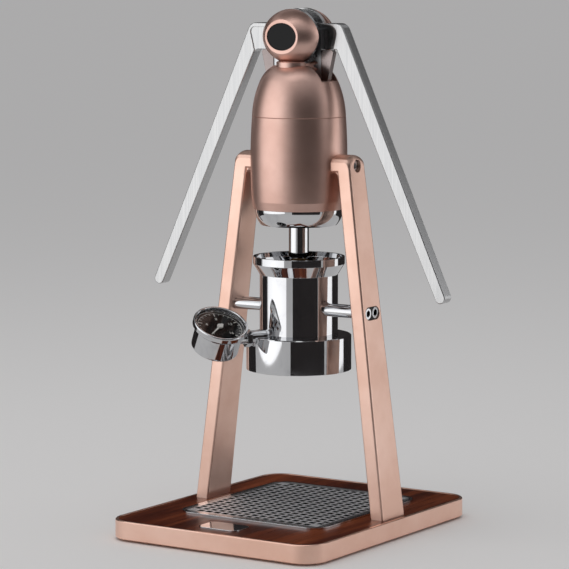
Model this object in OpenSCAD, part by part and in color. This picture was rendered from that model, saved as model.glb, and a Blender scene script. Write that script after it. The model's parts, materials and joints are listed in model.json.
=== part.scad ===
// Manual lever espresso maker: two levers on one axle lift and press a piston
// through a pinion each and a shared rack yoke.

/* [Base] */
// Width of the base, left to right
base_w = 176; // [160:1:200]
// Depth of the base, front to back
base_d = 219; // [195:1:250]
// Height of the base frame
base_h = 13.4; // [13:0.2:18]
// Corner radius of the base
base_r = 18; // [10:1:26]
// Width of the metal lip round the wood
lip_w = 2.2; // [1.5:0.1:4]
// Edge chamfer of the base frame
base_edge = 0.6; // [0.3:0.1:1]
// Thickness of the wood inlay
inlay_t = 4; // [3:0.2:5]
// Depth of the wood below the lip
inlay_drop = 0.3; // [0.1:0.1:0.8]
// Height of the rubber feet under the base
foot_h = 1.5; // [1:0.1:4]
// Diameter of a rubber foot
foot_d = 16; // [10:1:20]
// Distance of the tower axis behind the middle of the base
axis_y = 9; // [0:1:14]

/* [Drip tray] */
// Depth of the tray's rim, front to back
tray_d = 138; // [110:1:150]
// Corner radius of the tray's rim
tray_r = 14; // [10:1:20]
// Width of the rim that lies on the wood
tray_rim = 2.4; // [2:0.1:4]
// Gap between the tray and the feet of the legs
tray_gap = 8.4; // [5:0.2:12]
// Depth of the pan below the wood's face
pan_h = 9; // [7:0.5:10]
// Sheet thickness of the pan
pan_t = 1; // [0.8:0.1:1.4]
// Thickness of the grille plate
grille_t = 1; // [0.8:0.1:1.5]
// Distance between the grille's holes
grille_pitch = 7; // [6:0.5:10]
// Width of the web between two holes
grille_web = 2.4; // [1.6:0.1:3]

/* [Legs] */
// Distance of a leg's foot from the side of the base
leg_inset = 6.8; // [5:0.2:12]
// Width of a leg at its foot, left to right
leg_foot_w = 10.8; // [9:0.2:14]
// Depth of a leg at its foot, front to back
leg_foot_d = 30.6; // [26:0.2:36]
// Width of a leg at its top
leg_top_w = 11; // [9:0.1:12]
// Depth of a leg at its top
leg_top_d = 21; // [18:0.2:24]
// Rounding of a leg's long edges
leg_edge = 1.6; // [1:0.1:2.4]
// Length of a leg's hook, from the body to its outer face
hook_l = 14.5; // [13:0.5:18]
// Height of the hook at its front edge
hook_h = 8.6; // [8:0.2:12]
// Radius of the rounded crown on a leg, seen from the side
crown_r = 17; // [14:0.5:20]
// Height of the leg screws above the base
leg_screw_z = 251; // [245:1:260]
// Diameter of the hole for a leg screw's head
leg_screw_hole = 9.3; // [8.8:0.1:10.5]

/* [Body] */
// Largest diameter of the body
body_d = 70; // [66:1:74]
// Height of the body's lower edge above the base
body_z = 218.4; // [214:0.2:224]
// Height of the lower body, up to the seam
body_h = 66.5; // [62:0.5:72]
// Radius of the body's gentle bulge
body_bulge = 443; // [350:1:600]
// Wall of the body
body_wall = 5; // [4:0.5:6]
// Floor of the body
body_floor = 6; // [5:0.5:8]
// Height of the dome's shoulder above the seam
shoulder_h = 25.7; // [23:0.1:28]
// Radius of the dome at its shoulder
shoulder_r = 28; // [27:0.1:29.5]
// Height of the dome's crown above the seam
dome_h = 36.7; // [36:0.1:38]
// Radius of the dome at its crown
dome_crown_r = 18; // [17:0.1:19]

/* [Head] */
// Height of the lever axle above the seam
head_h = 57.6; // [57:0.1:59]
// Radius of a cheek, from its middle upward
cheek_r = 19.8; // [19.4:0.1:20.2]
// Width of a cheek, left to right
cheek_w = 48; // [46:0.1:49]
// Distance of a cheek's outer face from the middle
cheek_y = 23.3; // [22.8:0.1:23.8]
// Half width of the slot between the cheeks
slot_y = 10.2; // [10:0.1:10.4]
// Radius of the bead under a cheek
bead_r = 12; // [11:0.1:13]
// Width of the oval disc on a cheek
disc_w = 24.4; // [22:0.1:25]
// Height of the oval disc on a cheek
disc_h = 19.4; // [18:0.1:21]
// Radius of the lever axle
axle_r = 4; // [3.5:0.1:4.5]

/* [Levers] */
// Angle of a resting lever arm from the vertical
arm_angle = 24.86; // [22:0.01:27]
// Length of a lever arm from its elbow to the middle of its round end
arm_l = 200.5; // [180:0.5:215]
// Distance of the elbow from the axle
elbow_x = 33.4; // [32:0.1:36]
// Width of a lever arm at the elbow
arm_w = 11.4; // [10:0.1:12]
// Width of a lever arm at its end
arm_tip_w = 8.1; // [7:0.1:9]
// Height of the tongue between the cheeks
tongue_h = 18.8; // [17:0.1:19]
// Radius of a lever's hub
hub_r = 20; // [19:0.1:20]
// Chamfer along the edges of a lever
arm_edge = 0.5; // [0.4:0.1:0.8]
// How far the levers swing up, in degrees
lever_swing = 110; // [90:1:112]

/* [Rack and pinion] */
// Module of the teeth
tooth_module = 1.5; // [1.4:0.05:1.55]
// Teeth on a pinion
pinion_teeth = 18; // [16:2:18]
// Width of a rack
rack_w = 4; // [3.5:0.1:4.2]
// Thickness of a rack behind its teeth
rack_back = 2.8; // [2.2:0.1:2.9]

/* [Brew group] */
// Height of the group ring's lower edge above the base
ring_z = 101.3; // [95:0.1:106]
// Height of the group ring
ring_h = 25.2; // [24.8:0.1:28]
// Radius of the group ring
ring_r = 38.2; // [37.5:0.1:42]
// Radius of the mouth that takes the filter holder
mouth_r = 31.5; // [31.2:0.1:32]
// Height of the lip at the mouth
mouth_h = 6.2; // [5:0.1:7]
// Outer radius of the chamber
chamber_r = 28.4; // [28.2:0.1:29]
// Height of the chamber above the group ring
chamber_h = 44.1; // [42:0.1:48]
// Radius of the piston bore
bore_r = 26; // [25:0.1:26.2]
// Height of the funnel's cone
funnel_h = 7.8; // [6:0.1:9]
// Height of the funnel's upright band
funnel_band = 5.2; // [4:0.1:7]
// Outer radius of the funnel
funnel_r = 33.3; // [32:0.1:34]
// Height of the support rods above the group ring
rod_z = 19.6; // [17:0.1:22]
// Diameter of a support rod
rod_d = 8; // [7:0.1:8.4]
// Distance between the two rods of a pair
rod_pitch = 9.5; // [9:0.1:11]
// Diameter of the piston rod
shaft_d = 14.5; // [12:0.1:16]
// Height of the piston head
piston_h = 16; // [14:0.5:18]

/* [Gauge] */
// Diameter of the gauge's bezel
gauge_d = 40; // [36:0.5:44]
// Depth of the gauge, from its face to its back
gauge_depth = 23; // [21:0.2:25]
// Distance of the gauge's axis from the tower axis
gauge_reach = 66.1; // [65:0.1:74]
// Angle of the gauge's stem to the left of the front
gauge_angle = 30.5; // [10:0.5:40]
// Angle by which the face is rolled about the stem
gauge_roll = 30; // [0:0.5:35]
// Height of the gauge's stem below the top of the group ring
gauge_drop = 0.6; // [0:0.1:2]

/* [Hidden] */
$fn = 96;

// Clearance between pieces that are fixed together
fit = 0.1;
// Running clearance of a shaft in its bore
run = 0.05;
// Clearance between pieces that move past each other
gap = 0.3;
// Overrun of a cut past the face that it opens
cut = 1;

rose = [0.80, 0.60, 0.52];
chrome = [0.78, 0.79, 0.80];
steel = [0.62, 0.63, 0.65];
alloy = [0.84, 0.84, 0.84];
walnut = [0.26, 0.11, 0.06];
black = [0.10, 0.10, 0.10];
bronze = [0.66, 0.50, 0.28];

// Heights above the ground
deck_z = foot_h + base_h;
wood_top = deck_z - inlay_drop;
wood_under = wood_top - inlay_t;
foot_sink = 1.5;
foot_in = 20;

// Leg lines, measured from the tower axis and the top of the base
leg_foot_x = base_w / 2 - leg_inset;
leg_top_x = body_d / 2 + hook_l;
leg_base_z = -inlay_drop - inlay_t;
leg_bar_z = leg_screw_z - 1;
function leg_share(z) = z / leg_bar_z;
function leg_out(z) = leg_foot_x + (leg_top_x - leg_foot_x) * leg_share(z);
function leg_wide(z) = leg_foot_w + (leg_top_w - leg_foot_w) * leg_share(z);
function leg_deep(z) = leg_foot_d + (leg_top_d - leg_foot_d) * leg_share(z);
crown_dip = crown_r - sqrt(crown_r * crown_r - leg_top_d * leg_top_d / 4);
hook_z = leg_screw_z - hook_h / 2 - 0.2;
crown_z = hook_z + hook_h + crown_dip - crown_r;
leg_screw_r = 2.5;
leg_head_r = leg_screw_hole / 2 - 0.4;
leg_head_h = 5;
leg_head_sink = 2.5;
foot_screw_y = 8;
foot_screw_l = 15;

// Tray sizes
tray_w = 2 * (leg_out(0) - leg_wide(0) - tray_gap);
open_w = tray_w - 2 * tray_rim;
open_d = tray_d - 2 * tray_rim;
open_r = tray_r - tray_rim;
ledge_w = 2;
seat_gap = 0.2;
ledge_z = wood_top + fit;
grille_z = ledge_z + seat_gap;
tray_top = grille_z + grille_t;
pan_z = wood_top - pan_h;
well_z = pan_z - 0.4;

// Heights above the top of the base
seam_z = body_z + body_h;
slot_z = seam_z + shoulder_h;
head_z = seam_z + head_h;
ring_top = ring_z + ring_h;
rods_z = ring_top + rod_z;
chamber_top = ring_top + chamber_h;
funnel_top = chamber_top + funnel_h + funnel_band;

// Body outline
body_r = body_d / 2;
bulge_z = body_z + body_h * 0.53;
function body_at(z) = body_r - body_bulge + sqrt(pow(body_bulge, 2) - pow(z - bulge_z, 2));
seam_r = body_at(seam_z);
hem_h = 6;
hem_in = 0.7;
shell_r = body_r - body_wall;

// Dome outline: two arcs that share a tangent at the shoulder
dome_lean = 2;
seam_edge = 0.4;
lower_chord = atan((seam_r - shoulder_r) / shoulder_h);
lower_arc = norm([seam_r - shoulder_r, shoulder_h]) / (2 * sin(lower_chord - dome_lean));
shoulder_lean = 2 * lower_chord - dome_lean;
upper_chord = atan((shoulder_r - dome_crown_r) / (dome_h - shoulder_h));
upper_arc = norm([shoulder_r - dome_crown_r, dome_h - shoulder_h]) / (2 * sin(upper_chord - shoulder_lean));
spigot_h = 6;
spigot_t = 4;
dome_deck = 12;

// Rack, pinion and stroke
pitch_r = tooth_module * pinion_teeth / 2;
press_angle = 20;
backlash = 0.2;
tooth_gap = 0.25 * tooth_module;
tip_r = pitch_r + tooth_module;
root_r = pitch_r - tooth_module - tooth_gap;
stroke = pitch_r * lever_swing * PI / 180;
rack_x = pitch_r + tooth_module + tooth_gap + rack_back;
rack_y = 0.7;
rack_far = rack_y + rack_w;
rack_top = head_z + 5;
bridge_h = 8;
bridge_top = head_z - tip_r - stroke - 1;
guide_x = rack_x + 0.4;
guide_y = rack_far + 0.4;
block_y0 = rack_y - 0.2;
block_y1 = rack_far + 0.4;
block_low_x = guide_x + 5.4;
block_top_x = guide_x + 10.1;
block_edge = 1.6;
block_screw_x = guide_x + 2.7;
block_screw_y = (block_y0 + block_y1) / 2;
block_screw_r = 1.25;
block_screw_l = 6;

// Lever layers, outward from the middle of the slot
hub_in = rack_far + gap;
washer_t = 0.7;
hub_out = slot_y - washer_t - gap;
arm_in = 0.25;
arm_out = slot_y - gap;
pinion_in = 0.4;
pocket_lean = 14;
inner_end = elbow_x - 2.2;
inner_rim = 1.5;
inner_corner = 6;
outer_end = elbow_x + 1.5;
outer_rim = 3;
outer_corner = 3.5;
elbow_r = 7;
fillet_r = 5;
weld = 0.06;
pin_r = 1.5;
pin_ring = 8.5;

// Cheek places
cheek_c = 7.8;
cheek_arc = (pow(cheek_w / 2, 2) + pow(cheek_r, 2)) / (2 * cheek_r);
bead_drop = 17.9;
bead_h = 8.1;
bead_edge = 0.6;
bead_top = head_z - bead_drop;
bead_foot = bead_top - bead_h;
disc_t = 2.2;
disc_sink = 0.5;

// Collar under the body
collar_h = 11.8;
collar_r = body_at(body_z) - hem_in - 0.9;
collar_low_r = collar_r - 4.6;
collar_neck_r = 16;
bush_r = 10;
bush_flange = 1.5;
collar_arc = (pow(collar_r - collar_low_r, 2) + pow(collar_h, 2)) / (2 * (collar_r - collar_low_r));

// Brew group, from the mouth upward
ear_h = 5.5;
ear_r = mouth_r + 3.9;
ear_angle = 36;
seat_top = ring_top - 5.5;
flange_t = 4;
floor_z = seat_top - flange_t;
gasket_h = 5;
screen_head_r = 4;
screen_head_h = 2;
piston_z = seat_top + 2;
relief_r = bore_r + 1;
relief_z = piston_z + stroke + 2.5;
relief_step = 1.5;
seal_h = 3;
seal_w = 3;
seal_z = [4, 10];
seal_r = bore_r - 0.07;
crown_gap = 0.4;
shaft_r = shaft_d / 2;
spigot_r = 4;
rod_recess = 1.6;
rod_end = 0.6;
rod_socket = 8;
grommet_t = 0.8;
neck_r = rack_far - fit;
guide_head_h = 2.4;
neck_z = seam_z + dome_deck - guide_head_h - stroke - 2;

// Gauge sizes, from the stem's axis along the face's normal
gauge_r = gauge_d / 2;
gauge_face = 15.9;
case_r = gauge_r - 2.8;
case_head_r = gauge_r - 0.6;
case_wall = 1.5;
case_round = 2;
case_flare = 2.7;
case_back = gauge_face - gauge_depth;
bezel_h = 4;
bezel_z = gauge_face - bezel_h;
bezel_lip = 2;
glass_z = gauge_face - 2.6;
glass_t = 1.2;
dial_z = glass_z - 2.6;
dial_t = 0.6;
stem_r = 4;
stem_thread_r = 3;
boss_r = 5.5;
boss_end = ring_r + 1.4;
hex_r = 6.4;
hex_l = 4;
needle_l = 12.5;
needle_rest = 140;

module rounded_rect(w, d, r) {
    square([w - 2 * r, d], center = true);
    square([w, d - 2 * r], center = true);
    for (x = [-1, 1], y = [-1, 1]) translate([x * (w / 2 - r), y * (d / 2 - r)]) circle(r);
}

module slab(w, d, r, z, h) {
    translate([0, 0, z]) linear_extrude(h) rounded_rect(w, d, r);
}

// Places a piece of the tower on its axis, measured from the top of the base
module on_tower() {
    translate([0, axis_y, deck_z]) children();
}

// Turns a shape drawn in the front view so that it is extruded from y0 to y1
module front_extrude(y0, y1) {
    translate([0, y1, 0]) rotate([90, 0, 0]) linear_extrude(y1 - y0) children();
}

module along_x(x0, x1, r) {
    translate([x0, 0, 0]) rotate([0, 90, 0]) cylinder(r = r, h = x1 - x0);
}

module along_y(y0, y1, r) {
    translate([0, y1, 0]) rotate([90, 0, 0]) cylinder(r = r, h = y1 - y0);
}

module at_feet() {
    for (x = [-1, 1], y = [-1, 1])
        translate([x * (base_w / 2 - foot_in), y * (base_d / 2 - foot_in), 0]) children();
}

// Middle of a leg's foot, where its two screws come up
module at_foot_screws() {
    x = leg_out(0) - leg_wide(0) / 2;
    for (side = [-1, 1], y = [-1, 1]) translate([side * x, axis_y + y * foot_screw_y, 0]) children();
}

module base_frame() color(rose) difference() {
    hull() {
        slab(base_w, base_d, base_r, foot_h + base_edge, base_h - 2 * base_edge);
        slab(base_w - 2 * base_edge, base_d - 2 * base_edge, base_r - base_edge, foot_h, base_h);
    }
    slab(base_w - 2 * lip_w, base_d - 2 * lip_w, base_r - lip_w, wood_under, inlay_t + inlay_drop + cut);
    translate([0, axis_y, 0])
        slab(open_w - 2 * ledge_w + 2 * pan_t + 2 * gap, open_d - 2 * ledge_w + 2 * pan_t + 2 * gap,
             open_r, well_z, base_h);
    at_feet() translate([0, 0, foot_h - cut]) cylinder(d = foot_d + 2 * fit, h = foot_sink + cut);
    at_foot_screws() {
        translate([0, 0, foot_h - cut]) cylinder(r = leg_head_r + fit, h = leg_head_h - 1 + cut);
        cylinder(r = leg_screw_r + fit, h = deck_z);
    }
}

module wood_inlay() color(walnut) translate([0, 0, wood_under]) linear_extrude(inlay_t) difference() {
    rounded_rect(base_w - 2 * lip_w - 2 * fit, base_d - 2 * lip_w - 2 * fit, base_r - lip_w - fit);
    translate([0, axis_y]) rounded_rect(open_w + 2 * pan_t + 2 * gap, open_d + 2 * pan_t + 2 * gap, open_r);
    for (side = [-1, 1]) {
        x0 = leg_out(leg_base_z) - leg_wide(leg_base_z) - fit - 0.6;
        x1 = leg_out(leg_base_z) + fit;
        translate([side * (x0 + x1) / 2, axis_y])
            rounded_rect(x1 - x0, leg_deep(leg_base_z) + 2 * fit, leg_edge);
    }
}

module rubber_feet() color(black) at_feet() {
    cylinder(d1 = foot_d - 1, d2 = foot_d, h = foot_h);
    translate([0, 0, foot_h]) cylinder(d = foot_d, h = foot_sink);
}

// Two-step pan: a rim on the wood, a ledge for the grille and a shallow bowl
module drip_pan() color(chrome) translate([0, axis_y, 0]) difference() {
    union() {
        slab(tray_w, tray_d, tray_r, wood_top, tray_top - wood_top);
        slab(open_w + 2 * pan_t, open_d + 2 * pan_t, open_r + pan_t,
             ledge_z - pan_t, tray_top - ledge_z + pan_t);
        slab(open_w - 2 * ledge_w + 2 * pan_t, open_d - 2 * ledge_w + 2 * pan_t, open_r - ledge_w + pan_t,
             pan_z, ledge_z - pan_z);
    }
    slab(open_w, open_d, open_r, ledge_z, pan_h);
    slab(open_w - 2 * ledge_w, open_d - 2 * ledge_w, open_r - ledge_w, pan_z + pan_t, pan_h);
}

// Outline of the grille as points, so that its holes are paths of one polygon
grille_w = open_w - 2 * gap;
grille_d = open_d - 2 * gap;
grille_r = open_r - gap;
grille_nx = floor((grille_w - 2 * ledge_w) / grille_pitch);
grille_ny = floor((grille_d - 2 * ledge_w) / grille_pitch);
hole = grille_pitch - grille_web;
corner_steps = 8;
function corner_arc(x, y, a) = [
    for (i = [0:corner_steps])
        [x * (grille_w / 2 - grille_r), y * (grille_d / 2 - grille_r)]
        + grille_r * [cos(a + 90 * i / corner_steps), sin(a + 90 * i / corner_steps)]
];
grille_outline = concat(
    corner_arc(1, 1, 0), corner_arc(-1, 1, 90), corner_arc(-1, -1, 180), corner_arc(1, -1, 270)
);
function in_corner(i, j) =
    (i == 0 || i == grille_nx - 1) && (j == 0 || j == grille_ny - 1);
grille_holes = [
    for (i = [0:grille_nx - 1], j = [0:grille_ny - 1]) if (!in_corner(i, j))
        [(i - (grille_nx - 1) / 2) * grille_pitch, (j - (grille_ny - 1) / 2) * grille_pitch]
];
function hole_points(c) = [for (k = [[-1, -1], [-1, 1], [1, 1], [1, -1]]) c + k * hole / 2];
grille_points = concat(grille_outline, [for (c = grille_holes, p = hole_points(c)) p]);
grille_paths = concat(
    [[for (i = [0:len(grille_outline) - 1]) i]],
    [for (k = [0:len(grille_holes) - 1]) [for (i = [0:3]) len(grille_outline) + 4 * k + i]]
);

module drip_grille() color(steel) translate([0, axis_y, grille_z])
    linear_extrude(grille_t) polygon(grille_points, grille_paths);

module leg_slab(z) {
    translate([leg_out(z) - leg_wide(z) / 2, 0, z]) linear_extrude(0.1)
        rounded_rect(leg_wide(z), leg_deep(z), leg_edge, $fn = 32);
}

// Crowned block of the leg's hook: a rounded profile turned about a cross axis
module hook_block(inset, half) {
    x0 = body_r - 6;
    w = leg_top_x - inset - x0;
    r = crown_r - inset;
    corner = 4.5 - inset;
    intersection() {
        translate([x0, 0, crown_z]) rotate([0, 90, 0]) rotate_extrude($fn = 64) {
            square([r - corner, w]);
            square([r, w - corner]);
            translate([r - corner, w - corner]) circle(corner, $fn = 32);
        }
        translate([x0, -half, hook_z + inset])
            cube([w, 2 * half, crown_r + hook_h]);
    }
}

module leg() difference() {
    union() {
        hull() {
            leg_slab(leg_base_z);
            leg_slab(leg_bar_z);
        }
        hull() {
            hook_block(0, leg_top_d / 2 - 1.2);
            hook_block(1.2, leg_top_d / 2);
        }
        front_extrude(-leg_top_d / 2 + 1.2, leg_top_d / 2 - 1.2) hook_fillet();
    }
    translate([0, 0, leg_base_z - cut]) cylinder(r = body_r + fit, h = leg_screw_z * 2);
    translate([0, 0, leg_screw_z]) {
        along_x(0, leg_top_x, leg_screw_r + fit);
        along_x(leg_top_x - leg_head_sink - leg_head_h, leg_top_x + cut, leg_screw_hole / 2);
    }
    for (y = [-1, 1]) {
        translate([leg_out(0) - leg_wide(0) / 2, y * foot_screw_y, leg_base_z - cut])
            cylinder(r = leg_screw_r + fit, h = foot_screw_l + cut);
        translate([0, y * rod_pitch / 2, rods_z]) along_x(0, leg_foot_x, rod_d / 2 + fit);
    }
    translate([leg_out(rods_z) - rod_recess, 0, rods_z]) rotate([0, 90, 0]) linear_extrude(leg_foot_w)
        rod_slot(0);
}

// Round the inner corner between the hook and the sloping bar
module hook_fillet() {
    x = leg_out(hook_z) - leg_wide(hook_z);
    r = 3;
    difference() {
        translate([x - r, hook_z - r]) square([r + 1.5, r + 1]);
        translate([x - r, hook_z - r]) circle(r);
    }
}

// Slot that both rod ends show in, drawn across the leg
module rod_slot(inset) {
    r = rod_d / 2 + 0.7 - inset;
    square([2 * r, rod_pitch], center = true);
    for (y = [-1, 1]) translate([0, y * rod_pitch / 2]) circle(r);
}

module right_leg() color(rose) on_tower() leg();

module left_leg() color(rose) on_tower() mirror([1, 0, 0]) leg();

module leg_foot_screws() color(steel) at_foot_screws() difference() {
    union() {
        translate([0, 0, foot_h + 0.4]) cylinder(r = leg_head_r, h = leg_head_h - 1.4);
        translate([0, 0, foot_h + 0.4])
            cylinder(r = leg_screw_r, h = wood_under - foot_h + foot_screw_l - 2);
    }
    translate([0, 0, foot_h]) cylinder(r = 2.2, h = 2.4, $fn = 6);
}

module leg_top_screws() color(steel) on_tower() for (side = [0, 1]) mirror([side, 0, 0])
    translate([0, 0, leg_screw_z]) difference() {
        x1 = leg_top_x - leg_head_sink;
        union() {
            along_x(x1 - leg_head_h, x1, leg_head_r);
            along_x(shell_r + 0.5, x1 - leg_head_h + 0.5, leg_screw_r);
        }
        translate([x1 - 2.6, 0, 0]) rotate([0, 90, 0]) cylinder(r = 2.4, h = 2.6 + cut, $fn = 6);
    }

module support_rods() for (y = [-1, 1]) difference() {
    translate([0, y * rod_pitch / 2, rods_z]) {
        difference() {
            along_x(0, leg_out(rods_z) - rod_end, rod_d / 2);
            translate([leg_out(rods_z) - rod_end - rod_socket, 0, 0]) rotate([0, 90, 0])
                cylinder(r = 2.6, h = rod_socket + cut, $fn = 6);
        }
    }
    translate([0, 0, rods_z - rod_d]) cylinder(r = chamber_r, h = 2 * rod_d);
}

module right_support_rods() color(chrome) on_tower() support_rods();

module left_support_rods() color(chrome) on_tower() mirror([1, 0, 0]) support_rods();

// Rubber plate in the slot of each leg, round both rod ends
module rod_grommets() color(black) on_tower() for (side = [0, 1]) mirror([side, 0, 0])
    translate([leg_out(rods_z) - rod_recess, 0, rods_z]) rotate([0, 90, 0])
        linear_extrude(grommet_t) difference() {
            rod_slot(fit);
            for (y = [-1, 1]) translate([0, y * rod_pitch / 2]) circle(rod_d / 2 + fit);
        }

module chamber_profile() {
    t = 1.5;
    cone_z = chamber_top + 1;
    polygon([
        [0, floor_z], [mouth_r - fit, floor_z], [mouth_r - fit, seat_top], [chamber_r, seat_top],
        [chamber_r, chamber_top], [funnel_r, chamber_top + funnel_h], [funnel_r, funnel_top],
        [funnel_r - t, funnel_top], [funnel_r - t, chamber_top + funnel_h + t],
        [relief_r, cone_z], [relief_r, relief_z + relief_step],
        [bore_r, relief_z], [bore_r, seat_top], [0, seat_top]
    ]);
}

module brew_chamber() color(chrome) on_tower() difference() {
    rotate_extrude() chamber_profile();
    translate([0, 0, floor_z - cut]) {
        cylinder(r = 2 + run, h = flange_t + 2 * cut);
        for (ring = [[6, 9], [12, 18]], k = [1:ring[0]])
            rotate(360 * k / ring[0]) translate([ring[1], 0, 0])
                cylinder(r = 1.5, h = flange_t + 2 * cut, $fn = 24);
    }
}

// Places what follows the gauge's stem, with the stem along X towards the tower
module on_stem() {
    on_tower() rotate([0, 0, 90 - gauge_angle]) translate([0, 0, ring_top - gauge_drop]) children();
}

// Group ring with a two-eared bayonet mouth and a boss for the gauge
module group_ring() color(chrome) difference() {
    union() {
        on_tower() translate([0, 0, ring_z]) {
            cylinder(r = ring_r, h = ring_h - 0.6);
            translate([0, 0, ring_h - 0.6]) cylinder(r1 = ring_r, r2 = ring_r - 0.6, h = 0.6);
        }
        on_stem() along_x(-boss_end, -chamber_r + 4, boss_r);
    }
    on_tower() {
        translate([0, 0, ring_z - cut]) cylinder(r = mouth_r, h = seat_top - ring_z + cut);
        translate([0, 0, ring_z + mouth_h]) cylinder(r = ear_r, h = ear_h);
        for (side = [0, 180]) rotate(side - ear_angle / 2) translate([0, 0, ring_z - cut])
            rotate_extrude(angle = ear_angle) translate([mouth_r - 2, 0])
                square([ear_r - mouth_r + 1.8, mouth_h + 2 * cut]);
        translate([0, 0, seat_top - cut]) cylinder(r = chamber_r + fit, h = 2 * ring_h);
    }
    on_stem() along_x(-boss_end - cut, -chamber_r + 6, stem_thread_r + fit);
}

module group_gasket() color(black) on_tower() translate([0, 0, floor_z - gasket_h]) difference() {
    cylinder(r = mouth_r - fit, h = gasket_h);
    translate([0, 0, -cut]) cylinder(r = mouth_r - 4.5, h = gasket_h + 2 * cut);
}

module shower_screen() color(chrome) on_tower() translate([0, 0, floor_z - 2.2]) difference() {
    union() {
        cylinder(r = bore_r - 0.6, h = 1.2);
        cylinder(r = 5, h = 2.2);
    }
    translate([0, 0, -cut]) {
        cylinder(r = 2 + fit, h = 2.2 + 2 * cut);
        for (ring = [[12, 9], [18, 14], [24, 19.5]], k = [1:ring[0]])
            rotate(360 * k / ring[0]) translate([ring[1], 0, 0])
                cylinder(r = 0.9, h = 1.2 + 2 * cut, $fn = 16);
    }
}

module screen_screw() color(steel) on_tower() translate([0, 0, floor_z - 2.2]) difference() {
    union() {
        translate([0, 0, -screen_head_h]) cylinder(r = screen_head_r, h = screen_head_h);
        cylinder(r = 2, h = 2.2 + flange_t - 0.5);
    }
    translate([-screen_head_r - cut, -0.5, -screen_head_h - cut])
        cube([2 * screen_head_r + 2 * cut, 1, screen_head_h / 2 + cut]);
}

module body_outline() {
    intersection() {
        translate([body_r - body_bulge, bulge_z]) circle(body_bulge, $fn = 720);
        translate([0, body_z]) square([body_r + cut, body_h]);
    }
}

module lower_body() color(rose) on_tower() difference() {
    rotate_extrude($fn = 144) difference() {
        body_outline();
        polygon([
            [body_at(body_z) - hem_in, body_z], [body_r + cut, body_z], [body_r + cut, body_z + hem_h],
            [body_at(body_z + hem_h), body_z + hem_h]
        ]);
        translate([0, body_z - cut]) square([collar_neck_r + fit, body_h]);
        translate([0, body_z + body_floor]) square([shell_r, body_h]);
    }
    for (side = [0, 1]) mirror([side, 0, 0])
        translate([0, 0, leg_screw_z]) along_x(shell_r - cut, body_r + cut, leg_screw_r + run);
}

module bottom_collar() color(chrome) on_tower() difference() {
    rotate_extrude() {
        translate([0, body_z - collar_h]) square([collar_low_r, collar_h]);
        intersection() {
            translate([collar_r - collar_arc, body_z]) circle(collar_arc);
            translate([0, body_z - collar_h]) square([collar_r + cut, collar_h]);
        }
        translate([0, body_z - cut]) square([collar_neck_r, body_floor + cut]);
    }
    translate([0, 0, body_z - collar_h - cut])
        cylinder(r = bush_r + fit, h = collar_h + body_floor + 2 * cut);
}

module shaft_bushing() color(bronze) on_tower() translate([0, 0, body_z - collar_h]) difference() {
    union() {
        cylinder(r = bush_r, h = collar_h + body_floor);
        translate([0, 0, -bush_flange]) cylinder(r = bush_r + 2, h = bush_flange);
    }
    translate([0, 0, -bush_flange - cut])
        cylinder(r = shaft_r + run, h = collar_h + body_floor + bush_flange + 2 * cut);
}

// Points along an arc, by the angle from the horizontal
function arc_points(c, r, a0, a1, n) = [
    for (i = [1:n]) let (a = a0 + (a1 - a0) * i / n) c + r * [cos(a), sin(a)]
];

module dome_profile() {
    lower_c = [seam_r, 0] - lower_arc * [cos(dome_lean), sin(dome_lean)];
    upper_c = [shoulder_r, shoulder_h] - upper_arc * [cos(shoulder_lean), sin(shoulder_lean)];
    polygon(concat(
        [[0, 0], [seam_r - seam_edge, 0], [seam_r - seam_edge * sin(dome_lean), seam_edge]],
        arc_points(lower_c, lower_arc, dome_lean, shoulder_lean, 12),
        arc_points(upper_c, upper_arc, shoulder_lean, 2 * upper_chord - shoulder_lean, 12),
        [[0, dome_h]]
    ));
}

module dome() color(rose) on_tower() translate([0, 0, seam_z]) difference() {
    union() {
        rotate_extrude($fn = 144) dome_profile();
        translate([0, 0, -spigot_h]) cylinder(r = shell_r - fit, h = spigot_h);
    }
    translate([0, 0, -spigot_h - cut]) cylinder(r = shell_r - spigot_t, h = spigot_h + dome_deck + cut);
    translate([-guide_x, -guide_y, 0]) cube([2 * guide_x, 2 * guide_y, dome_h]);
    translate([-body_r, -slot_y - fit, shoulder_h]) cube([body_d, 2 * (slot_y + fit), dome_h]);
    for (side = [-1, 1]) translate([0, side * cheek_c, bead_foot - seam_z])
        cylinder(r = bead_r + fit, h = dome_h);
    for (turn = [0, 180]) rotate([0, 0, turn]) translate([block_screw_x, block_screw_y, dome_deck - cut])
        cylinder(r = block_screw_r + fit, h = dome_h, $fn = 32);
}

// Blocks under the lever tongues, one behind each rack
module rack_guide() color(chrome) on_tower() for (turn = [0, 180]) rotate([0, 0, turn]) difference() {
    top = head_z - tongue_h / 2 - gap;
    front_extrude(block_y0, block_y1) polygon([
        [guide_x, top], [guide_x, slot_z], [block_low_x, slot_z],
        [block_top_x, top - block_edge], [block_top_x - block_edge, top]
    ]);
    translate([block_screw_x, block_screw_y, slot_z - cut])
        cylinder(r = block_screw_r + run, h = block_screw_l + fit + cut, $fn = 32);
}

module guide_screws() color(steel) on_tower() for (turn = [0, 180]) rotate([0, 0, turn])
    translate([block_screw_x, block_screw_y, seam_z + dome_deck]) difference() {
        union() {
            translate([0, 0, -guide_head_h]) cylinder(r = 2, h = guide_head_h, $fn = 32);
            cylinder(r = block_screw_r, h = shoulder_h - dome_deck + block_screw_l, $fn = 32);
        }
        translate([0, 0, -guide_head_h - cut]) cylinder(r = 1.1, h = guide_head_h - 1 + cut, $fn = 6);
    }

// Oval as points, so that a seat and its disc share one outline
oval_steps = 72;
module oval(w, h) {
    step = 360 / oval_steps;
    polygon([for (i = [0:oval_steps - 1]) [w / 2 * cos(i * step), h / 2 * sin(i * step)]]);
}

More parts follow.
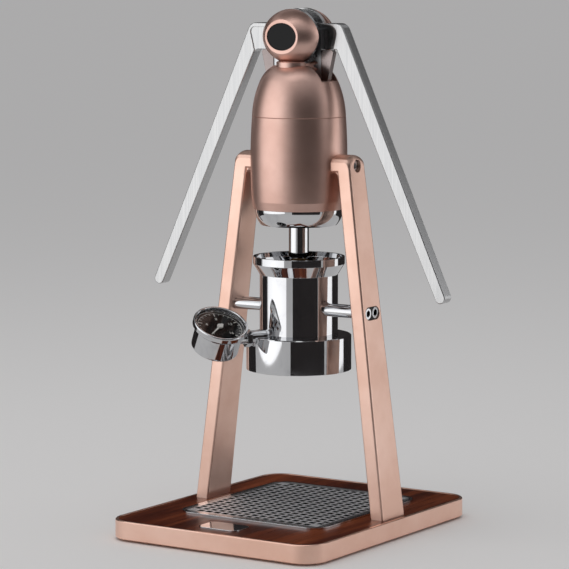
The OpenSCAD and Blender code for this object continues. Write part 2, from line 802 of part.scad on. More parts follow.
// Oval ball, longer from left to right than it is high
module cheek_ball() {
    rotate([0, 90, 0]) rotate_extrude() intersection() {
        translate([cheek_r - cheek_arc, 0]) circle(cheek_arc);
        translate([0, -cheek_w]) square([cheek_r + cut, 2 * cheek_w]);
    }
}

// Cheek on its bead, open to the slot and bored for the axle
module cheek() difference() {
    union() {
        translate([0, cheek_c, head_z]) cheek_ball();
        translate([0, cheek_c, bead_foot]) cylinder(r = bead_r, h = bead_h - bead_edge);
        translate([0, cheek_c, bead_top - bead_edge])
            cylinder(r1 = bead_r, r2 = bead_r - bead_edge, h = bead_edge);
    }
    translate([-body_r, slot_y - body_d, bead_foot - cut]) cube([body_d, body_d, body_d]);
    translate([0, 0, head_z]) {
        along_y(0, cheek_y, axle_r + run);
        front_extrude(cheek_y - disc_t, cheek_y + cheek_r) oval(disc_w + 2 * fit, disc_h + 2 * fit);
        along_y(cheek_y, cheek_y + cheek_r, 2 * cheek_r);
    }
}

module rear_cheek() color(rose) on_tower() cheek();

module front_cheek() color(rose) on_tower() mirror([0, 1, 0]) cheek();

module cap_disc() translate([0, 0, head_z])
    front_extrude(cheek_y - disc_t, cheek_y - disc_sink) oval(disc_w, disc_h);

module rear_disc() color(black) on_tower() cap_disc();

module front_disc() color(black) on_tower() mirror([0, 1, 0]) cap_disc();

module pivot_axle() color(steel) on_tower() translate([0, 0, head_z])
    along_y(-(cheek_y - disc_t), cheek_y - disc_t, axle_r);

module thrust_washers() color(steel) on_tower() for (side = [0, 1]) mirror([0, side, 0])
    translate([0, 0, head_z]) difference() {
        along_y(slot_y - washer_t, slot_y, hub_r - 0.8);
        along_y(0, slot_y + cut, axle_r + fit);
    }

// Tapered arm in the front view, from the elbow to a round end
module arm_shape(inset) {
    r0 = arm_w / 2 - inset;
    r1 = arm_tip_w / 2 - inset;
    lean = asin((r0 - r1) / arm_l);
    rotate(arm_angle) {
        polygon([
            [-r0 * cos(lean), -r0 * sin(lean)], [r0 * cos(lean), -r0 * sin(lean)],
            [r1 * cos(lean), -arm_l - r1 * sin(lean)], [-r1 * cos(lean), -arm_l - r1 * sin(lean)]
        ]);
        translate([0, -arm_l]) circle(r1, $fn = 32);
    }
}

// Elbow between the tongue and the arm, with a round outer corner
module elbow_shape(inset) {
    lean = arm_angle - asin((arm_w - arm_tip_w) / 2 / arm_l);
    side_x = elbow_x + arm_w / 2 / cos(lean) - weld;
    half = tongue_h / 2 - inset;
    r = elbow_r - inset;
    start_x = hub_r * 0.8;
    corner_x = side_x - inset / cos(lean) - half * tan(lean) - r * tan((90 - lean) / 2);
    polygon([
        [start_x, half], [corner_x, half], [corner_x + r * cos(lean), half - r + r * sin(lean)],
        [side_x - inset / cos(lean) + half * tan(lean), -half], [start_x, -half]
    ]);
    translate([corner_x, half - r]) circle(r, $fn = 48);
}

// Hollow curve between the tongue and the arm, let in a little on both sides
module elbow_fillet() {
    lean = arm_angle + asin((arm_w - arm_tip_w) / 2 / arm_l);
    corner = [elbow_x - arm_w / 2 / cos(lean) + tongue_h / 2 * tan(lean), -tongue_h / 2];
    reach = fillet_r * tan((90 - lean) / 2);
    polygon(concat(
        [corner + [-reach, 1], corner + [-reach, weld]],
        arc_points(corner + [-reach, -fillet_r], fillet_r, 90, lean, 8),
        [corner + [reach * sin(lean) + 2, -reach * cos(lean)], corner + [2, 1]]
    ));
}

// Pocket in a face of the tongue, with a leaning end and a round upper corner
module pocket_shape(end_x, top, r) {
    corner_x = end_x + top * tan(pocket_lean) - r / tan((90 - pocket_lean) / 2);
    polygon(concat(
        [[0, -tongue_h], [0, top], [corner_x, top]],
        arc_points([corner_x, top - r], r, 90, -pocket_lean, 8),
        [[end_x - tongue_h * tan(pocket_lean), -tongue_h]]
    ));
}

// Right-hand lever about the axle: thick arm, thin tongue and hub
module lever() {
    difference() {
        union() {
            hull() {
                front_extrude(arm_in, arm_out) translate([elbow_x, 0]) arm_shape(arm_edge);
                front_extrude(arm_in + arm_edge, arm_out - arm_edge) translate([elbow_x, 0]) arm_shape(0);
            }
            hull() {
                front_extrude(arm_in, arm_out) elbow_shape(arm_edge);
                front_extrude(arm_in + arm_edge, arm_out - arm_edge) elbow_shape(0);
            }
            front_extrude(arm_in + arm_edge, arm_out - arm_edge) translate([weld, weld]) elbow_fillet();
        }
        front_extrude(arm_in - cut, hub_in)
            pocket_shape(inner_end, tongue_h / 2 - inner_rim, inner_corner);
        front_extrude(hub_out, arm_out + cut)
            pocket_shape(outer_end, tongue_h / 2 - outer_rim, outer_corner);
        along_y(hub_out, arm_out + cut, hub_r + gap);
        along_y(arm_in - cut, arm_out + cut, hub_r - 1);
    }
    difference() {
        along_y(hub_in, hub_out, hub_r);
        along_y(arm_in, arm_out, axle_r + run);
        at_pins() along_y(hub_in - cut, hub_in + 2, pin_r + fit);
    }
}

module at_pins() {
    for (k = [0:2]) rotate([0, 120 * k, 0]) translate([pin_ring, 0, 0]) children();
}

// Both levers are one part: the left one is turned half round the tower axis
module on_right() {
    on_tower() translate([0, 0, head_z]) children();
}

module on_left() {
    on_tower() translate([0, 0, head_z]) rotate([0, 0, 180]) children();
}

module right_lever() color(alloy) on_right() lever();

module left_lever() color(alloy) on_left() lever();

// Involute pinion, with one tooth pointing at its rack
base_circle = pitch_r * cos(press_angle);
function involute(r) = r <= base_circle ? 0
    : tan(acos(base_circle / r)) * 180 / PI - acos(base_circle / r);
function tooth_half(r) = 90 / pinion_teeth - backlash / pitch_r / 4 * 180 / PI
    + involute(pitch_r) - involute(max(r, base_circle));
flank_steps = 5;
flank_r = concat([root_r], [for (i = [0:flank_steps]) max(base_circle, root_r + 0.1)
    + (tip_r - max(base_circle, root_r + 0.1)) * i / flank_steps]);
function around(r, a) = r * [cos(a), sin(a)];
pinion_points = [
    for (t = [0:pinion_teeth - 1]) let (a = 360 / pinion_teeth * t) each concat(
        [for (r = flank_r) around(r, a - tooth_half(r))],
        [for (i = [len(flank_r) - 1:-1:0]) around(flank_r[i], a + tooth_half(flank_r[i]))]
    )
];

module pinion() difference() {
    front_extrude(pinion_in, hub_in) polygon(pinion_points);
    along_y(0, hub_out, axle_r + run);
    at_pins() along_y(0, hub_out, pin_r + fit);
}

module right_pinion() color(steel) on_right() pinion();

module left_pinion() color(steel) on_left() pinion();

module drive_pins() at_pins() along_y(pinion_in + 0.4, hub_in + 1.8, pin_r);

module right_drive_pins() color(steel) on_right() drive_pins();

module left_drive_pins() color(steel) on_left() drive_pins();

// Rack in the front view: teeth towards the axle, a space level with it at rest
pitch_l = PI * tooth_module;
rack_low = ceil((head_z - bridge_top) / pitch_l);
rack_high = floor((rack_top - head_z) / pitch_l);
function rack_tooth(z) = let (
    half = pitch_l / 4 - backlash / 4,
    rise = tooth_module * tan(press_angle),
    fall = (tooth_module + tooth_gap) * tan(press_angle)
) [
    [pitch_r + tooth_module + tooth_gap, z - half - fall], [pitch_r - tooth_module, z - half + rise],
    [pitch_r - tooth_module, z + half - rise], [pitch_r + tooth_module + tooth_gap, z + half + fall]
];
module rack_shape() {
    polygon(concat(
        [[rack_x, bridge_top - bridge_h / 2],
         [pitch_r + tooth_module + tooth_gap, bridge_top - bridge_h / 2]],
        [for (k = [-rack_low + 1:rack_high]) each rack_tooth(head_z + (k - 0.5) * pitch_l)],
        [[pitch_r + tooth_module + tooth_gap, rack_top], [rack_x, rack_top]]
    ));
}

module rack_yoke() color(steel) on_tower() difference() {
    union() {
        front_extrude(rack_y, rack_far) rack_shape();
        rotate([0, 0, 180]) front_extrude(rack_y, rack_far) rack_shape();
        translate([-rack_x, -rack_far, bridge_top - bridge_h]) cube([2 * rack_x, 2 * rack_far, bridge_h]);
    }
    translate([0, 0, bridge_top - bridge_h - cut]) cylinder(r = spigot_r + run, h = bridge_h + 2 * cut);
}

// Rod with a slimmer neck that follows the racks up through the dome
module piston_rod() color(chrome) on_tower() {
    low = piston_z + piston_h;
    high = bridge_top - bridge_h;
    translate([0, 0, low]) cylinder(r = shaft_r, h = neck_z - low);
    translate([0, 0, neck_z]) cylinder(r = neck_r, h = high - neck_z);
    translate([0, 0, low - piston_h / 2]) cylinder(r = spigot_r, h = piston_h / 2);
    translate([0, 0, high]) cylinder(r = spigot_r, h = bridge_h);
}

module piston_head() color(chrome) on_tower() translate([0, 0, piston_z]) difference() {
    rotate_extrude() difference() {
        polygon([
            [0, 0], [bore_r - 2, 0], [bore_r - crown_gap, 1.6], [bore_r - crown_gap, piston_h - 1.6],
            [bore_r - 2, piston_h], [0, piston_h]
        ]);
        for (z = seal_z) translate([bore_r - seal_w, z]) square([seal_w + cut, seal_h]);
    }
    translate([0, 0, piston_h / 2 - 0.5]) cylinder(r = spigot_r + run, h = piston_h);
}

module piston_seals() color(black) on_tower() for (z = seal_z) translate([0, 0, piston_z + z + fit])
    rotate_extrude() translate([bore_r - seal_w, 0]) polygon([
        [fit, 0], [seal_w - 0.5, 0], [seal_r - bore_r + seal_w, 0.8], [seal_r - bore_r + seal_w, seal_h - 1],
        [seal_w - 0.5, seal_h - 2 * fit], [fit, seal_h - 2 * fit]
    ]);

// Places the gauge: Z along its face's normal, X towards the tower
module on_gauge() {
    on_stem() translate([-gauge_reach, 0, 0]) rotate([gauge_roll, 0, 0]) children();
}

module gauge_stem() color(chrome) on_stem() {
    tip = -gauge_reach + case_r - case_wall - 3;
    face = -gauge_reach + case_r;
    difference() {
        union() {
            along_x(-boss_end - hex_l - 6, -boss_end - hex_l, stem_r);
            translate([-boss_end - hex_l, 0, 0]) rotate([0, 90, 0]) cylinder(r = hex_r, h = hex_l, $fn = 6);
        }
        translate([-gauge_reach, 0, 0]) rotate([gauge_roll, 0, 0])
            translate([0, 0, -gauge_depth]) cylinder(r = case_r + run, h = 2 * gauge_depth);
    }
    along_x(tip, -boss_end - hex_l, stem_thread_r);
    along_x(-boss_end - hex_l, -chamber_r - 2, stem_thread_r);
}

// Case with a flared head, which the bezel goes over
module gauge_case() color(chrome) on_gauge() difference() {
    rotate_extrude() polygon(concat(
        [[0, case_back], [case_r - case_round, case_back]],
        arc_points([case_r - case_round, case_back + case_round], case_round, -90, 0, 8),
        [
            [case_r, bezel_z - case_flare], [case_head_r, bezel_z],
            [case_head_r, glass_z], [0, glass_z]
        ]
    ));
    translate([0, 0, case_back + case_wall]) cylinder(r = case_r - case_wall, h = gauge_depth);
    translate([0, 0, dial_z]) cylinder(r = case_r, h = gauge_depth);
    along_x(case_r - 4, case_r + cut, stem_thread_r + fit);
}

module gauge_dial() color(black) on_gauge() difference() {
    union() {
        translate([0, 0, dial_z]) cylinder(r = case_r - fit, h = dial_t);
        translate([0, 0, case_back + case_wall]) cylinder(r = 3, h = dial_z - case_back - case_wall);
    }
    translate([0, 0, dial_z - 3]) cylinder(r = 1 + run, h = dial_t + 3 + cut, $fn = 32);
}

// Needle on its arbor, pointing at the foot of the scale when there is no pressure
module gauge_needle() color([0.93, 0.93, 0.90]) on_gauge() rotate(-needle_rest) {
    translate([0, 0, dial_z - 2.5]) cylinder(r = 1, h = dial_t + 3, $fn = 32);
    translate([0, 0, dial_z + dial_t + 0.5]) {
        cylinder(r = 2.2, h = 1.2, $fn = 48);
        linear_extrude(0.6)
            polygon([[-4, -0.9], [-4, 0.9], [0, 0.8], [needle_l, 0.25], [needle_l, -0.25], [0, -0.8]]);
    }
}

module gauge_glass() color([0.85, 0.90, 0.92, 0.35]) on_gauge()
    translate([0, 0, glass_z]) cylinder(r = case_head_r - fit, h = glass_t);

module gauge_bezel() color(chrome) on_gauge() rotate_extrude() {
    r = 1.1;
    top = gauge_face - r;
    translate([case_head_r + fit, bezel_z]) square([gauge_r - case_head_r - fit, bezel_h - r]);
    translate([gauge_r - bezel_lip, glass_z + glass_t + run])
        square([bezel_lip, top - glass_z - glass_t - run]);
    intersection() {
        hull_ring(r, top);
        translate([gauge_r - bezel_lip, top]) square([bezel_lip, r]);
    }
}

// Rounded upper edge of the bezel
module hull_ring(r, top) {
    translate([gauge_r - r, top]) circle(r, $fn = 48);
    translate([gauge_r - bezel_lip + r / 2, top]) square([bezel_lip - r * 1.5, r]);
    translate([gauge_r - bezel_lip + r / 2, top]) circle(r / 2, $fn = 48);
}

base_frame();
wood_inlay();
rubber_feet();
drip_pan();
drip_grille();
left_leg();
right_leg();
leg_foot_screws();
leg_top_screws();
left_support_rods();
right_support_rods();
rod_grommets();
brew_chamber();
group_ring();
group_gasket();
shower_screen();
screen_screw();
lower_body();
bottom_collar();
shaft_bushing();
dome();
rack_guide();
guide_screws();
front_cheek();
rear_cheek();
front_disc();
rear_disc();
pivot_axle();
thrust_washers();
left_lever();
left_pinion();
left_drive_pins();
right_lever();
right_pinion();
right_drive_pins();
rack_yoke();
piston_rod();
piston_head();
piston_seals();
gauge_stem();
gauge_case();
gauge_dial();
gauge_needle();
gauge_glass();
gauge_bezel();
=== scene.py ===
import json
import math
import bmesh
import bpy
from mathutils import Matrix, Vector


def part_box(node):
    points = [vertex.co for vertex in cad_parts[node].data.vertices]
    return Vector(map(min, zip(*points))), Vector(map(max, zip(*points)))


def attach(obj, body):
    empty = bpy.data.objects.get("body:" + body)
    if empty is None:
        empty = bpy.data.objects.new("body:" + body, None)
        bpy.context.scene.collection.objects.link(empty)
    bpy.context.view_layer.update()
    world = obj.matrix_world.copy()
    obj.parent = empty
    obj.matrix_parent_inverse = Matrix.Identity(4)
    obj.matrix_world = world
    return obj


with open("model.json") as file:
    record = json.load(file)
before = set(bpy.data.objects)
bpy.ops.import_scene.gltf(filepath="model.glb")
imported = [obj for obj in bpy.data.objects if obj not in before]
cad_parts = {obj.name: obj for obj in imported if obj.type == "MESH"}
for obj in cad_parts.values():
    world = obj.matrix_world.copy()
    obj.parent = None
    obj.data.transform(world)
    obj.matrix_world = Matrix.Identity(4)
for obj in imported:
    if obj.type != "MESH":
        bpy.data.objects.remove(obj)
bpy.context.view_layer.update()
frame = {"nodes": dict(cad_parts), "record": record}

nodes = frame["nodes"]
print("frame loaded:", len(nodes), "nodes")

mm = 0.001


# A socket that adds its own Math nodes
class Sock:
    def __init__(self, finish, socket):
        self.finish, self.socket = finish, socket

    def calc(self, kind, first, second):
        return self.finish.add("ShaderNodeMath", {"operation": kind}, {0: first, 1: second})

    def __add__(self, other):
        return self.calc("ADD", self, other)

    def __radd__(self, other):
        return self.calc("ADD", other, self)

    def __sub__(self, other):
        return self.calc("SUBTRACT", self, other)

    def __rsub__(self, other):
        return self.calc("SUBTRACT", other, self)

    def __mul__(self, other):
        return self.calc("MULTIPLY", self, other)

    def __rmul__(self, other):
        return self.calc("MULTIPLY", other, self)


class Finish:                                       # one material and its node tree
    def __init__(self, name, **plain):
        self.material = bpy.data.materials.new(name)
        self.material.use_nodes = True
        self.tree = self.material.node_tree
        self.shader = self.tree.nodes["Principled BSDF"]
        for socket, value in plain.items():
            self.put(socket.replace("_", " "), value)

    def put(self, socket, value):                   # a plain value or a link on the main shader
        self.feed(self.shader.inputs[socket], value)

    def feed(self, target, value):
        if isinstance(value, Sock):
            self.tree.links.new(value.socket, target)
        else:
            target.default_value = value

    def add(self, kind, settings=None, inputs=None, out=0):
        node = self.tree.nodes.new(kind)
        for key, value in (settings or {}).items():
            if key == "stops":
                ramp = node.color_ramp.elements
                while len(ramp) < len(value):
                    ramp.new(1)
                for stop, (place, tone) in zip(ramp, value):
                    stop.position, stop.color = place, tone
            else:
                setattr(node, key, value)
        for key, value in (inputs or {}).items():
            self.feed(node.inputs[key], value)
        return Sock(self, node.outputs[out])

    def place(self, scale=(1, 1, 1), turn=(0, 0, 0)):   # metres on the object, stretched and turned
        where = self.add("ShaderNodeTexCoord", out="Object")
        return self.add("ShaderNodeMapping", {}, {
            "Vector": where, "Scale": scale, "Rotation": turn})

    def along(self, axis, kind="Object"):           # one axis of the object's places or normals
        where = self.add("ShaderNodeTexCoord", out=kind)
        return self.add("ShaderNodeSeparateXYZ", {}, {0: where}, out=axis)

    def noise(self, where, scale, detail=3, rough=0.5, warp=0.0):
        return self.add("ShaderNodeTexNoise", {}, {
            "Vector": where, "Scale": scale, "Detail": detail, "Roughness": rough,
            "Distortion": warp})

    def layer(self, stretch, detail, rough=0.5, warp=0.0, turn=(0, 0, 0)):  # noise drawn out
        return self.noise(self.place(stretch, turn), 1.0, detail, rough, warp)

    def ramp(self, value, *stops):
        return self.add("ShaderNodeValToRGB", {"stops": stops}, {0: value})

    def grade(self, value, low, high, start=0.0, end=1.0):      # smooth step between two numbers
        return self.add("ShaderNodeMapRange", {"interpolation_type": "SMOOTHSTEP"}, {
            "Value": value, "From Min": start, "From Max": end, "To Min": low, "To Max": high})

    def least(self, first, second):
        return self.add("ShaderNodeMath", {"operation": "MINIMUM"}, {0: first, 1: second})

    def mix(self, share, first, second):
        return self.add("ShaderNodeMix", {"data_type": "RGBA"}, {
            0: share, 6: first, 7: second}, out=2)

    def tone(self, value, span, tints):             # from one tint to the other over a span
        return self.mix(self.grade(value, 0, 1, *span), *tints)

    def bump(self, height, strength, depth, edge=0.0):  # relief, and edges that look rounded
        inputs = {"Height": height, "Strength": strength, "Distance": depth}
        if edge:
            inputs["Normal"] = self.add("ShaderNodeBevel", {"samples": 4}, {"Radius": edge})
        self.put("Normal", self.add("ShaderNodeBump", {}, inputs))


def colour(red, green, blue):                       # sRGB bytes to a linear colour
    def linear(v):
        v /= 255
        return v / 12.92 if v <= 0.04045 else ((v + 0.055) / 1.055) ** 2.4
    return (linear(red), linear(green), linear(blue), 1)


# In the finishes below, a share is how far a layer sways the roughness,
# a span is where a layer's tone begins and ends, and relief is strength, depth and rounded edge.
satin = {
    "body": {"tints": (colour(224, 188, 176), colour(208, 170, 157)), "rough": 0.33, "grain": 5200},
    # painted light: the legs and the base get paler copies of the body's rose gold, so that they
    # render brighter
    "legs": {"tints": (colour(242, 206, 190), colour(230, 190, 172)), "rough": 0.33, "grain": 3640},
    "base": {"tints": (colour(252, 212, 194), colour(242, 198, 178)), "rough": 0.30, "grain": 3640},
    "detail": 2,
    "cloud": (22, 4, 0.6),                          # slow changes of tone
    "span": (0.3, 0.7),
    "grainShare": 0.07,
    "cloudShare": 0.04,
    "relief": (0.10, 0.05 * mm, 0.5 * mm),
}


def satinRoseGold(name, tints, rough, grain):       # bead-blasted, grain per metre
    f = Finish(name, Metallic=1.0)
    where = f.place()
    fine = f.noise(where, grain, satin["detail"])
    cloud = f.noise(where, *satin["cloud"])
    f.put("Base Color", f.tone(cloud, satin["span"], tints))
    f.put("Roughness", rough + satin["grainShare"] * fine + satin["cloudShare"] * cloud)
    f.bump(fine, *satin["relief"])
    return f.material


mirror = {
    "plain": {"tints": (colour(212, 213, 215), colour(192, 193, 196)), "rough": 0.03},
    "shaft": {"tints": (colour(212, 213, 215), colour(192, 193, 196)), "rough": 0.05},
    # painted shade and painted reflection: the guide blocks get a darker, rose-tinted copy of the
    # chrome
    "block": {"tints": (colour(150, 139, 137), colour(128, 118, 116)), "rough": 0.24},
    "smear": (46, 5, 0.62, 0.6),                    # wipe marks
    "span": (0.45, 0.75),
    "dullSpan": (0.48, 0.8),
    "dullShare": 0.05,
    "hair": ((900, 900, 60), 2),                    # hairlines up the piece
    "hairShare": 0.015,
    "relief": (0.03, 0.02 * mm, 0.35 * mm),
}


def mirrorChrome(name, tints, rough):
    f = Finish(name, Metallic=1.0)
    smear = f.noise(f.place(), *mirror["smear"])
    hair = f.layer(*mirror["hair"])
    dull = f.grade(smear, 0, mirror["dullShare"], *mirror["dullSpan"])
    f.put("Base Color", f.tone(smear, mirror["span"], tints))
    f.put("Roughness", rough + dull + mirror["hairShare"] * hair)
    f.bump(hair, *mirror["relief"])
    return f.material


bowl = {
    # painted shade: the near-black colour of the bowl under the grille
    "deep": colour(34, 34, 35),
    "bright": colour(214, 215, 217),
    "fade": 1.5 * mm,                               # height over which the painted shade in the bowl gives way to bright chrome
    "rough": (0.45, 0.08),                          # of the bowl and of the rim
    "smear": (60, 4, 0.6),
    "smearShare": 0.06,
    "relief": (0.04, 0.03 * mm, 0.4 * mm),
}


def trayChrome(name):                               # bright rim; below the grille dull, and dark with painted shade
    f = Finish(name, Metallic=1.0)
    smear = f.noise(f.place(), *bowl["smear"])
    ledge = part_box("drip_grille")[0][2]
    # painted shade below the grille, bright chrome above it
    lit = f.grade(f.along("Z"), 0, 1, ledge - bowl["fade"], ledge)
    f.put("Base Color", f.mix(lit, bowl["deep"], bowl["bright"]))
    f.put("Roughness", f.grade(lit, *bowl["rough"]) + bowl["smearShare"] * smear)
    f.bump(smear, *bowl["relief"])
    return f.material


brushed = {
    "screws": {"stretch": (700, 700, 700), "rough": 0.24},
    "gears": {"stretch": (80, 2400, 80), "rough": 0.28},
    "tints": (colour(206, 207, 209), colour(176, 177, 180)),
    "lines": (4, 0.65),
    "span": (0.3, 0.7),
    "cloud": 60,
    "lineShare": 0.12,
    "cloudShare": 0.05,
    "relief": (0.10, 0.04 * mm, 0.3 * mm),
}


def brushedSteel(name, stretch, rough):
    f = Finish(name, Metallic=1.0)
    lines = f.layer(stretch, *brushed["lines"])
    cloud = f.noise(f.place(), brushed["cloud"])
    f.put("Base Color", f.tone(lines, brushed["span"], brushed["tints"]))
    f.put("Roughness", rough + brushed["lineShare"] * lines + brushed["cloudShare"] * cloud)
    f.bump(lines, *brushed["relief"])
    return f.material


grille = {
    # painted light: ribs tinted near white so that they read bright
    "ribs": (colour(248, 248, 250), colour(228, 229, 231)),
    # painted shade on the hole walls
    "wallShade": colour(14, 14, 15),
    "facing": (0.2, 0.8),                           # how far up a face looks, from painted shade on the wall to the rib
    "border": (3.0 * mm, 4.0 * mm),                 # smooth margin, and where the field begins
    "rough": (0.24, 0.55),                          # of the border and of the field
    "lines": ((120, 900, 900), 4, 0.65),
    "span": (0.3, 0.7),
    "lineShare": 0.10,
    "relief": (0.10, 0.04 * mm, 0.8 * mm),
}


def pressedGrille(name):                            # ribs painted near white, painted shade on the hole walls, a smooth border
    f = Finish(name, Metallic=1.0)
    lines = f.layer(*grille["lines"])
    ribs = f.tone(lines, grille["span"], grille["ribs"])
    upward = f.along("Z", "Normal")
    # painted shade on faces that look sideways, the hole walls
    f.put("Base Color", f.tone(upward, grille["facing"], (grille["wallShade"], ribs)))
    low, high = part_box("drip_grille")
    margin = 1.0
    for axis, start, end in zip("XY", low, high):   # distance from the nearest outer edge
        spot = f.along(axis)
        margin = f.least(f.least(spot - start, end - spot), margin)
    smooth = f.grade(margin, *grille["rough"], *grille["border"])
    f.put("Roughness", smooth + grille["lineShare"] * lines)
    f.bump(lines, *grille["relief"])
    return f.material


lever = {
    "lean": math.radians(24.86),                    # the arm's lean from the vertical
    "tints": (colour(194, 194, 194), colour(180, 181, 182)),
    "lines": ((1400, 1400, 22), 3, 0.6),
    "span": (0.25, 0.75),
    "cloud": (35, 4, 0.6),
    "rough": 0.17,
    "lineShare": 0.08,
    "cloudShare": 0.06,
    "relief": (0.02, 0.02 * mm, 0.5 * mm),
}


def leverAlloy(name, side):                         # fine polishing lines along the arm
    f = Finish(name, Metallic=1.0)
    lines = f.layer(*lever["lines"], turn=(0, -side * lever["lean"], 0))
    cloud = f.noise(f.place(), *lever["cloud"])
    f.put("Base Color", f.tone(lines, lever["span"], lever["tints"]))
    f.put("Roughness", lever["rough"] + lever["lineShare"] * lines + lever["cloudShare"] * cloud)
    f.bump(lines, *lever["relief"])
    return f.material


walnut = {
    "dark": (0.36, colour(40, 13, 6)),              # where each tone stands, from dark to pale
    "mid": (0.50, colour(80, 31, 14)),
    "pale": (0.63, colour(138, 70, 38)),
    # layers of the grain: stretch, detail, roughness and warp
    "broad": ((26, 2.0, 26), 4, 0.55, 1.2),
    "figure": ((110, 4.5, 110), 4, 0.6, 0.8),
    "streak": ((620, 10, 620), 3, 0.6),
    "pores": ((1700, 80, 1700), 2, 0.6),
    "parts": (0.50, 0.36, 0.14),                    # of broad, figure and streak in the tone
    "pit": colour(18, 8, 5),
    "pitSpan": (0.58, 0.70),
    "pitDepth": 0.7,
    "rough": 0.23,
    "streakShare": 0.14,
    "pitShare": 0.12,
    "streakRise": 0.4,
    "relief": (0.20, 0.05 * mm),
    "sheen": 0.2,
}


def oiledWalnut(name):                              # irregular grain that runs front to back
    f = Finish(name, Specular_IOR_Level=walnut["sheen"])
    broad, figure, streak, pores = (
        f.layer(*walnut[layer]) for layer in ("broad", "figure", "streak", "pores"))
    parts = walnut["parts"]
    tone = parts[0] * broad + parts[1] * figure + parts[2] * streak
    wood = f.ramp(tone, walnut["dark"], walnut["mid"], walnut["pale"])
    pit = f.grade(pores, 0, 1, *walnut["pitSpan"])
    f.put("Base Color", f.mix(walnut["pitDepth"] * pit, wood, walnut["pit"]))
    f.put("Roughness", walnut["rough"] + walnut["streakShare"] * streak + walnut["pitShare"] * pit)
    f.bump(streak * walnut["streakRise"] - pit, *walnut["relief"])
    return f.material


black = {
    "rubber": {"deep": colour(22, 22, 23), "rough": 0.62, "grain": 2600, "depth": 0.05 * mm,
               "sheen": 0.5},
    "disc": {"deep": colour(13, 13, 14), "rough": 0.45, "grain": 5200, "depth": 0.02 * mm,
             "sheen": 0.22},
    "dial": {"deep": colour(7, 7, 8), "rough": 0.6, "grain": 4200, "depth": 0.01 * mm,
             "sheen": 0.15},
    "fine": (3, 0.6),
    "cloud": 90,
    "paler": 1.5,                                   # the lighter tone, in times the deep one
    "grainShare": 0.12,
    "strength": 0.25,
    "edge": 0.25 * mm,
}


def softBlack(name, deep, rough, grain, depth, sheen):  # rubber and moulded plastic
    f = Finish(name, Specular_IOR_Level=sheen)
    fine = f.noise(f.place(), grain, *black["fine"])
    cloud = f.noise(f.place(), black["cloud"])
    pale = tuple(black["paler"] * c for c in deep[:3]) + (1,)
    f.put("Base Color", f.mix(cloud, deep, pale))
    f.put("Roughness", rough + black["grainShare"] * fine)
    f.bump(fine, black["strength"], depth, black["edge"])
    return f.material


bronze = {
    "tints": (colour(196, 150, 88), colour(160, 116, 62)),
    "rings": ((60, 60, 2600), 2),                   # turning marks round the bore
    "rough": 0.26,
    "ringShare": 0.14,
    "relief": (0.08, 0.03 * mm, 0.3 * mm),
}


def turnedBronze(name):
    f = Finish(name, Metallic=1.0)
    rings = f.layer(*bronze["rings"])
    f.put("Base Color", f.mix(rings, *bronze["tints"]))
    f.put("Roughness", bronze["rough"] + bronze["ringShare"] * rings)
    f.bump(rings, *bronze["relief"])
    return f.material


ink = {
    "tints": (colour(236, 235, 230), colour(218, 217, 212)),
    "grain": (3000, 2),
    "rough": 0.45,
    "grainShare": 0.15,
}


def printedWhite(name):                             # dial marks and needle
    f = Finish(name)
    fine = f.noise(f.place(), *ink["grain"])
    f.put("Base Color", f.mix(fine, *ink["tints"]))
    f.put("Roughness", ink["rough"] + ink["grainShare"] * fine)
    return f.material


glass = {
    "bend": 1.2,                                    # index of refraction
    "smear": (120, 4, 0.6),
    "haze": 0.012,
    "span": (0.45, 0.85),
}


def clearGlass(name):
    f = Finish(name, Base_Color=(1, 1, 1, 1), IOR=glass["bend"], Transmission_Weight=1.0)
    smear = f.noise(f.place(), *glass["smear"])
    f.put("Roughness", f.grade(smear, 0, glass["haze"], *glass["span"]))
    return f.material


legGold = satinRoseGold("roseGoldLegs", **satin["legs"])
chrome = mirrorChrome("mirrorChrome", **mirror["plain"])
gearSteel = brushedSteel("cutGearSteel", **brushed["gears"])
finishes = {                                        # by the record's material slots
    "rose_gold": satinRoseGold("roseGoldBody", **satin["body"]),
    "chrome": chrome,
    "steel": brushedSteel("screwSteel", **brushed["screws"]),
    "walnut": oiledWalnut("oiledWalnut"),
    "rubber": softBlack("blackRubber", **black["rubber"]),
    "black_plastic": softBlack("satinBlackDisc", **black["disc"]),
    "bronze": turnedBronze("turnedBronze"),
    "dial": softBlack("dialBlack", **black["dial"]),
    "needle": printedWhite("needleWhite"),
    "glass": clearGlass("gaugeGlass"),
}
special = {                                         # nodes with a finish of their own
    "left_lever": leverAlloy("leverAlloyLeft", -1),
    "right_lever": leverAlloy("leverAlloyRight", 1),
    "left_leg": legGold,
    "right_leg": legGold,
    "base_frame": satinRoseGold("roseGoldBase", **satin["base"]),
    "drip_grille": pressedGrille("pressedGrille"),
    "drip_pan": trayChrome("trayChrome"),
    "piston_rod": mirrorChrome("groundShaft", **mirror["shaft"]),
    "rack_guide": mirrorChrome("guideBlocksPaintedShade", **mirror["block"]),
    "left_pinion": gearSteel,
    "right_pinion": gearSteel,
    "rack_yoke": gearSteel,
}
for part in frame["record"]["subparts"]:
    name = part["node"]
    finish = special.get(name) or finishes[part["material_slot"]]
    for slot in nodes[name].material_slots:
        slot.material = finish
print("finishes set on", len(nodes), "nodes")


# Pieces that the solids leave to the looks
def meshFrom(name, bm):
    data = bpy.data.meshes.new(name)
    bm.to_mesh(data)
    bm.free()
    return data


def addObject(name, data):
    made = bpy.data.objects.new(name, data)
    bpy.context.scene.collection.objects.link(made)
    return made


def addPiece(name, data, finish):         # a piece that stays with the frame
    data.materials.clear()
    data.materials.append(finish)
    piece = addObject(name, data)
    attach(piece, "frame")


plate = {
    "size": (33 * mm, 21 * mm),
    "thick": 0.7 * mm,
    "corner": 5 * mm,
    "cornerSteps": 10,
    "bevel": 0.25 * mm,
    "bevelSteps": 3,
    "bevelShape": 0.6,
    "place": (-2 * mm, -85 * mm),
}


